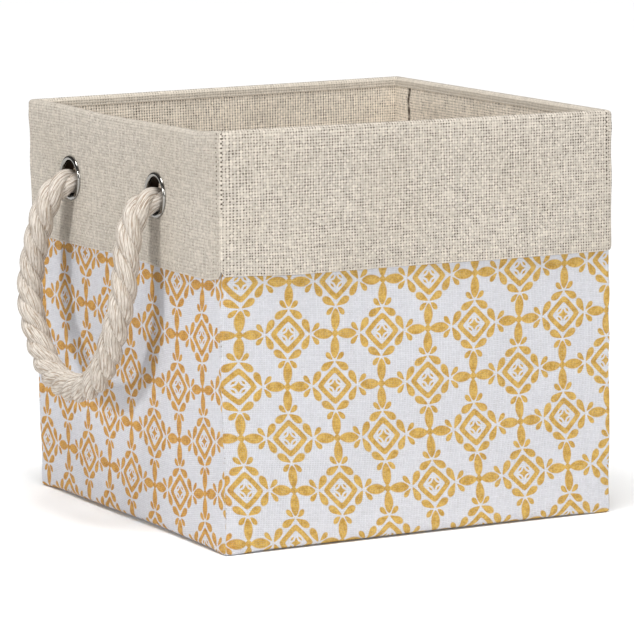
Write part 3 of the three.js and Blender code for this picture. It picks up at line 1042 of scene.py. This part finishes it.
def make_lining(wall):
    """The linen inside a wall, a little slack."""
    outer_side, inner_side = lining_layer
    lowest, highest = (corner.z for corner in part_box("front_lining"))
    z_rows = np.linspace(lowest, highest, 56)
    columns = wall_columns()
    along, z = np.meshgrid(columns, z_rows, indexing="ij")
    from_corner = corner_end - np.abs(along)
    slack = -(wall_relief[wall](along * 0.7, z * 1.6 + 1) + 0.9) * 0.5 * mm * ease(0, 16 * mm, from_corner)
    push = slack * near_eyelet(wall, along, z) * ease(0, 10 * mm, highest - z)
    outer = on_wall(wall, along, outer_side - push, z)
    inner = on_wall(wall, along, inner_side - push, z)
    uv = np.stack([along + half, z], axis=-1)
    piece = closed_sheet(f"{wall}_lining_cloth", outer, inner, uv, "lining_linen")
    cut_holes(piece, wall)
    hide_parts(f"{wall}_lining")


def make_board(wall):
    """The stiff board of a wall, stopping short of the corners so that the cloth can fold."""
    z_rows = np.linspace(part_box("front_board")[0].z + 2 * mm, rim - 3 * mm, 30)
    columns = np.linspace(-(flat_half - 1.5 * mm), flat_half - 1.5 * mm, 30)
    along, z = np.meshgrid(columns, z_rows, indexing="ij")
    outer = on_wall(wall, along, board_layer[0], z)
    inner = on_wall(wall, along, board_layer[1], z)
    piece = closed_sheet(f"{wall}_stiff_board", outer, inner, np.stack([along, z], axis=-1), "cardboard")
    cut_holes(piece, wall)
    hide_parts(f"{wall}_board")


for one_wall in walls:
    make_board(one_wall)
    make_panel(one_wall)
    make_lining(one_wall)
    make_cuff(one_wall)


# ---- Eyelets and washers ----


def turned_ring(name, profile, wall, place):
    """A ring turned about a hole's axis from a closed profile of (radius, depth in from the face)."""
    around = 96
    angle = np.arange(around) * 2 * math.pi / around
    radius, depth = np.array(profile).T
    ring = np.stack(
        [
            place + radius[None, :] * np.cos(angle)[:, None],
            np.broadcast_to(-half + depth[None, :], (around, len(radius))),
            eyelet_height + radius[None, :] * np.sin(angle)[:, None],
        ],
        axis=-1,
    )
    number = np.arange(around * len(radius)).reshape(around, -1)
    faces = []
    for i in range(around):
        following = number[(i + 1) % around]
        faces += strip_faces([int(n) for n in number[i]], [int(n) for n in following], True)
    length = np.concatenate([[0], np.cumsum(np.hypot(np.diff(radius), np.diff(depth)))])
    uv = np.stack(np.meshgrid(angle * 12 * mm, length, indexing="ij"), axis=-1).reshape(-1, 2)
    return make_piece(name, turn_to(wall, ring).reshape(-1, 3), faces, uv, "nickel")


def arc(centre, size, start, end, count):
    """Points of an ellipse's arc, in degrees from +radius towards +depth."""
    turn = np.radians(np.linspace(start, end, count))
    return [(centre[0] + size[0] * math.cos(a), centre[1] + size[1] * math.sin(a)) for a in turn]


def make_eyelet(wall, end):
    node_low, node_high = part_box(f"{wall}_{end}_eyelet")
    along = (node_low.y + node_high.y) / 2 * (1 if wall == "right" else -1)
    flange_radius = (node_high.z - node_low.z) / 2 - 0.5 * mm
    bore = hole_radius - 0.6 * mm
    crown = (bore + flange_radius) / 2
    face = -0.3 * mm
    curl_end = 7.2 * mm
    rounded = (flange_radius - bore) / 2
    profile = arc((crown, face), (rounded, 1.4 * mm), 0, -180, 19)
    profile += [(bore, 1 * mm), (bore, 3 * mm), (bore, 5.5 * mm)]
    profile += arc((bore + 1.1 * mm, curl_end - 1.0 * mm), (1.1 * mm, 1.0 * mm), 180, 0, 9)
    barrel = hole_radius - 0.05 * mm
    profile += [(barrel, curl_end - 1.1 * mm), (barrel, 3 * mm), (barrel, face)]
    eyelet = turned_ring(f"{wall}_{end}_nickel_eyelet", profile, wall, along)
    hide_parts(f"{wall}_{end}_eyelet")
    washer_low, washer_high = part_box(f"{wall}_{end}_washer")
    washer_radius = (washer_high.z - washer_low.z) / 2
    face_depth = wall_back + 0.3 * mm
    edge_depth = face_depth + 0.3 * mm
    dish = [(hole_radius + 0.2 * mm, face_depth)]
    dish += [(washer_radius - 0.3 * mm, face_depth), (washer_radius, edge_depth)]
    dish += arc((crown + 0.6 * mm, edge_depth), (rounded, 0.55 * mm), 10, 170, 11)
    washer = turned_ring(f"{wall}_{end}_nickel_washer", dish, wall, along)
    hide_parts(f"{wall}_{end}_washer")


for handle_wall in handle_walls:
    for wall_end in ("front", "back"):
        make_eyelet(handle_wall, wall_end)


# ---- Bottom, floor lining and loose base ----


def square_rings(sizes, heights, radius):
    """Rounded square outlines, [place round it][ring], of half sizes at heights."""
    corner = np.linspace(0, math.pi / 2, 7)
    grid = []
    for size, z in zip(sizes, heights):
        r = min(radius, size * 0.9)
        ring = []
        for quarter in range(4):
            side = np.linspace(-(size - r), size - r, 17)[1:-1]
            straight = np.stack([side, np.full(15, -size)], axis=-1)
            bend = np.stack([size - r + r * np.sin(corner), -(size - r) - r * np.cos(corner)], axis=-1)
            turn = quarter * math.pi / 2
            rotate = np.array([[math.cos(turn), math.sin(turn)], [-math.sin(turn), math.cos(turn)]])
            ring.append(np.concatenate([straight, bend]) @ rotate)
        flat = np.concatenate(ring)
        grid.append(np.concatenate([flat, np.full((len(flat), 1), z)], axis=1))
    return np.stack(grid, axis=1)


def make_floor_cloth(node, name, slot, inset, raised, sag):
    """A flat square cloth in place of a CAD one: inset from its edge, its underside raised."""
    low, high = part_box(node)
    size = high.x - inset
    sizes = size * np.linspace(1, 0.02, 30)
    outer = square_rings(sizes, np.full(len(sizes), high.z), 3 * mm)
    inner = square_rings(sizes, np.full(len(sizes), low.z + raised), 3 * mm)
    for grid in (outer, inner):
        grid[..., 2] += sag(grid[..., 0], grid[..., 1])
    cloth_map = outer[..., :2] + 0.5
    piece = closed_sheet(name, outer, inner, cloth_map, slot, loop=True, capped=True)
    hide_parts(node)


def make_base_cover():
    """Cloth wrapped over the loose board, with its edges turned under all round."""
    low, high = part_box("base_board_cover")
    size, cloth, flap_width = high.x, 0.6 * mm, 20 * mm
    edge = (high.z - low.z) / 2
    inside = edge - cloth
    turn = np.linspace(math.pi, 0, 9)
    flap = np.linspace(size - flap_width, size - edge, 6)[:-1]
    top = (size - edge) * np.linspace(1, 0.02, 34)[1:]
    below, above = np.ones(len(flap)), np.ones(len(top))
    middle_z = low.z + edge
    sizes = np.concatenate([flap, size - edge + edge * np.sin(turn), top])
    heights = np.concatenate([low.z * below, middle_z + edge * np.cos(turn), high.z * above])
    under_sizes = np.concatenate([flap, size - edge + inside * np.sin(turn), top])
    under_edge = middle_z + inside * np.cos(turn)
    under_heights = np.concatenate([(low.z + cloth) * below, under_edge, (high.z - cloth) * above])
    soft = waves(62, 7, 40 * mm, 120 * mm)
    first_top = len(flap) + len(turn)
    outer = square_rings(sizes, heights, 4 * mm)
    inner = square_rings(under_sizes, under_heights, 4 * mm)
    for grid in (outer, inner):
        x, y = grid[:, first_top:, 0], grid[:, first_top:, 1]
        away = ease(0, 25 * mm, size - np.maximum(np.abs(x), np.abs(y)))
        grid[:, first_top:, 2] += 0.35 * mm * (soft(x, y) + 0.5) * away
    cloth_map = outer[..., :2] + 0.5
    name, slot, body = "base_cover_cloth", "lining_linen", "base_insert"
    piece = closed_sheet(name, outer, inner, cloth_map, slot, loop=True, capped=True, body=body)
    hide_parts("base_board_cover")


bottom_sag = waves(61, 5, 60 * mm, 150 * mm)
make_floor_cloth(
    "bottom_cloth", "bottom_cloth_sheet", "plain_cloth", 5 * mm, 0.4 * mm,
    lambda x, y: 0.1 * mm * bottom_sag(x, y),
)
make_floor_cloth(
    "floor_lining", "floor_lining_cloth", "lining_linen", 0.5 * mm, 0.0, lambda x, y: 0 * x
)
make_base_cover()


def dress_base_board():
    """The CAD board inside the cover keeps its shape and gets the cardboard finish."""
    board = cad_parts["base_board"]
    board.data.materials.clear()
    board.data.materials.append(materials["cardboard"])


dress_base_board()


# ---- Floor and light ----


def make_floor():
    mesh = bpy.data.meshes.new("studio_floor")
    reach = 30
    corners = [(-reach, -reach, 0), (reach, -reach, 0), (reach, reach, 0), (-reach, reach, 0)]
    mesh.from_pydata(corners, [], [(0, 1, 2, 3)])
    floor = bpy.data.objects.new("studio_floor", mesh)
    bpy.context.scene.collection.objects.link(floor)
    finish = Finish("studio_floor", roughness=0.9, specular=0.1)
    finish.shader.inputs["Base Color"].default_value = (0.9, 0.9, 0.9, 1)
    mesh.materials.append(finish.material)


def make_light(name, kind, energy, place, aim, size=1.0):
    data = bpy.data.lights.new(name, kind)
    data.energy = energy
    if kind == "SUN":
        data.angle = math.radians(size)
    else:
        data.shape = "DISK"
        data.size = size
    light = bpy.data.objects.new(name, data)
    bpy.context.scene.collection.objects.link(light)
    light.location = place
    light.rotation_mode = "QUATERNION"
    light.rotation_quaternion = (Vector(aim) - Vector(place)).to_track_quat("-Z", "Y")


def make_studio():
    world = bpy.data.worlds.new("studio")
    bpy.context.scene.world = world
    world.use_nodes = True
    world.node_tree.nodes["Background"].inputs[0].default_value = (1, 1, 1, 1)
    world.node_tree.nodes["Background"].inputs[1].default_value = 0.1
    make_light("overhead", "SUN", 1.75, (0.1, -0.5, 3), (0, 0, 0), size=25)
    make_light("over_left", "SUN", 1.6, (-0.8, -0.5, 3), (0, 0, 0), size=25)
    make_light("left", "AREA", 33, (-2.75, -0.6, 0.9), (0, 0, 0.15), size=0.45)
    make_light("front", "AREA", 36, (-0.4, -2.87, 1.0), (0, 0, 0.2), size=1.2)
    bpy.context.scene.view_settings.view_transform = "Standard"


make_floor()
make_studio()
